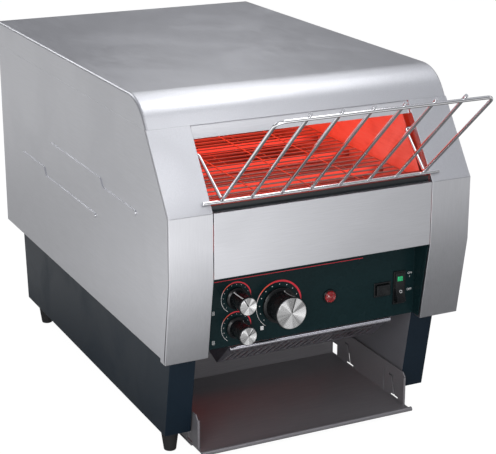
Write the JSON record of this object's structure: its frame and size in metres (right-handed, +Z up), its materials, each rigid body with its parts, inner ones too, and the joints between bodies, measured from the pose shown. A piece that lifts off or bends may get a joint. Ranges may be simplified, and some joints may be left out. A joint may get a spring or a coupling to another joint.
{
  "type": "conveyor toaster",
  "caption": "Counter-top conveyor toaster with a sloping front feed rack, a wire belt between heating elements, a discharge chute and a pull-out toast tray.",
  "frame": {"origin": "middle of the bounding box's base, on the surface the feet stand on", "axes": "+Z up, +Y to the back of the toaster, +X to the right seen from the front"},
  "size_m": [0.3704, 0.7027, 0.4273],
  "materials": {
    "satin_steel": "satin brushed",
    "base_paint": "fine textured paint",
    "black_enamel": "semi-gloss enamel",
    "pale_strip": "satin",
    "inner_steel": "aluminised sheet",
    "chute_steel": "satin sheet",
    "tray_steel": "dark satin sheet",
    "element_sheath": "oxidised sheath",
    "belt_wire": "bright wire",
    "machined_steel": "machined",
    "bush_bronze": "sintered bronze",
    "motor_paint": "satin paint",
    "blanket": "mineral wool",
    "foot_rubber": "matt",
    "knob_black": "satin moulding",
    "spun_aluminium": "spun",
    "lamp_red": "clear red",
    "switch_plastic": "matt moulding",
    "board_green": "lacquered board",
    "guard_steel": "bright strands",
    "chrome_wire": "polished",
    "zinc_screw": "zinc plated"
  },
  "bodies": {
    "toaster": {"base_left": "base_paint", "base_rear": "base_paint", "base_right": "base_paint", "burn_guard": "guard_steel", "chamber_wall_left": "inner_steel", "chamber_wall_right": "inner_steel", "control_board": "board_green", "control_panel": "black_enamel", "cord_gland": "switch_plastic", "corner_post_left": "satin_steel", "corner_post_right": "satin_steel", "discharge_chute": "chute_steel", "drive_chain": "machined_steel", "fan_frame": "switch_plastic", "feed_sill": "black_enamel", "floor_pan": "inner_steel", "front_panel": "satin_steel", "gearmotor": "motor_paint", "guard_rim": "chrome_wire", "header_strip": "pale_strip", "heat_shield": "inner_steel", "insulation_top": "blanket", "knob_switches": "switch_plastic", "lamp_bezel": "knob_black", "lower_elements": "element_sheath", "pilot_lamp": "lamp_red", "power_save_frame": "knob_black", "rear_panel": "satin_steel", "rear_screws": "zinc_screw", "rocker_frame": "knob_black", "rubber_feet": "foot_rubber", "side_panel_left": "satin_steel", "side_panel_right": "satin_steel", "spindle_bushes": "bush_bronze", "top_cover": "satin_steel", "tray_rails": "tray_steel", "upper_elements": "element_sheath", "upper_reflector": "inner_steel", "wire_belt": "belt_wire"},
    "feed_rack": {"rack_frame": "chrome_wire", "rack_rod": "chrome_wire", "rack_wires": "chrome_wire"},
    "tray": {"toast_tray": "tray_steel"},
    "top_heat_dial": {"top_heat_knob": "knob_black", "top_heat_cap": "spun_aluminium", "top_heat_shaft": "machined_steel"},
    "bottom_heat_dial": {"bottom_heat_knob": "knob_black", "bottom_heat_cap": "spun_aluminium", "bottom_heat_shaft": "machined_steel"},
    "speed_dial": {"speed_knob": "knob_black", "speed_cap": "spun_aluminium", "speed_shaft": "machined_steel"},
    "power_switch": {"power_rocker": "knob_black"},
    "power_save": {"power_save_button": "knob_black"},
    "drive": {"drive_shaft": "machined_steel", "drive_wheels": "machined_steel"},
    "idler": {"idler_shaft": "machined_steel", "idler_wheels": "machined_steel"},
    "motor_output": {"motor_sprocket": "machined_steel"},
    "fan": {"fan_rotor": "switch_plastic"}
  },
  "joints": [
    {"name": "rack_lift", "type": "slide", "parent": "toaster", "child": "feed_rack", "axis": [0, 0.5707, 0.8211], "range_m": [0, 0.012]},
    {"name": "tray_slide", "type": "slide", "parent": "toaster", "child": "tray", "axis": [0, -1, 0], "range_m": [0, 0.19]},
    {"name": "top_heat_turn", "type": "hinge", "parent": "toaster", "child": "top_heat_dial", "pos_m": [-0.09403, -0.19673, 0.18854], "axis": [0, 1, 0], "range_deg": [-116, 121]},
    {"name": "bottom_heat_turn", "type": "hinge", "parent": "toaster", "child": "bottom_heat_dial", "pos_m": [-0.09403, -0.19673, 0.15441], "axis": [0, 1, 0], "range_deg": [-184, 53]},
    {"name": "speed_turn", "type": "hinge", "parent": "toaster", "child": "speed_dial", "pos_m": [-0.04203, -0.19673, 0.17198], "axis": [0, 1, 0], "range_deg": [-161, 76]},
    {"name": "power_rock", "type": "hinge", "parent": "toaster", "child": "power_switch", "pos_m": [0.1121, -0.19473, 0.16731], "axis": [1, 0, 0], "range_deg": [0, 20]},
    {"name": "power_save_press", "type": "slide", "parent": "toaster", "child": "power_save", "axis": [0, 1, 0], "range_m": [0, 0.0025], "stiffness_N_per_m": 300},
    {"name": "drive_turn", "type": "hinge", "parent": "toaster", "child": "drive", "pos_m": [0, 0.27427, 0.285], "axis": [-1, 0, 0], "continuous": true},
    {"name": "idler_turn", "type": "hinge", "parent": "toaster", "child": "idler", "pos_m": [0, -0.18973, 0.285], "axis": [-1, 0, 0], "continuous": true},
    {"name": "motor_turn", "type": "hinge", "parent": "toaster", "child": "motor_output", "pos_m": [0, 0.27427, 0.215], "axis": [-1, 0, 0], "continuous": true},
    {"name": "fan_turn", "type": "hinge", "parent": "toaster", "child": "fan", "pos_m": [0, 0.33387, 0.186], "axis": [0, 1, 0], "continuous": true}
  ],
  "couplings": [
    {"joint": "idler_turn", "follows": "drive_turn", "ratio": 1},
    {"joint": "motor_turn", "follows": "drive_turn", "ratio": 1}
  ]
}
